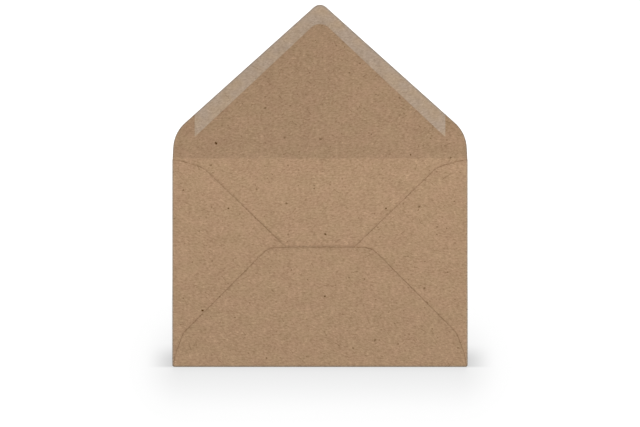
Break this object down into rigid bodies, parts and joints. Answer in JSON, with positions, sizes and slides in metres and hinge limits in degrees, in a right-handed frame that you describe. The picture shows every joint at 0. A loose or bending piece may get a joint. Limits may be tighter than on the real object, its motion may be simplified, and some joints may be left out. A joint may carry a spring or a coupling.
{
  "type": "paper envelope",
  "caption": "Kraft paper envelope with a pointed, gummed closure flap standing open, folded and glued from one die-cut sheet.",
  "frame": {"origin": "centre of the address panel, on the surface that the envelope lies on", "axes": "+X along the width, to the right as the back is seen from above with the closure flap away from the viewer; +Y up the back towards the closure flap's tip; +Z out of the back, where the bottom flap shows"},
  "size_m": [0.162, 0.1982, 0.009],
  "materials": {
    "kraft_paper": "matt brown recycled kraft paper with fine fibres and specks, 120 g/m2",
    "dry_gum": "dry remoistenable gum, thin, greyer than the paper and faintly glossy",
    "seam_glue": "dried adhesive, hidden between two layers of paper"
  },
  "bodies": {
    "root": {"folded_sheet": "kraft_paper", "flap_gum": "dry_gum", "seam_glue_right": "seam_glue", "seam_glue_left": "seam_glue"}
  },
  "joints": []
}
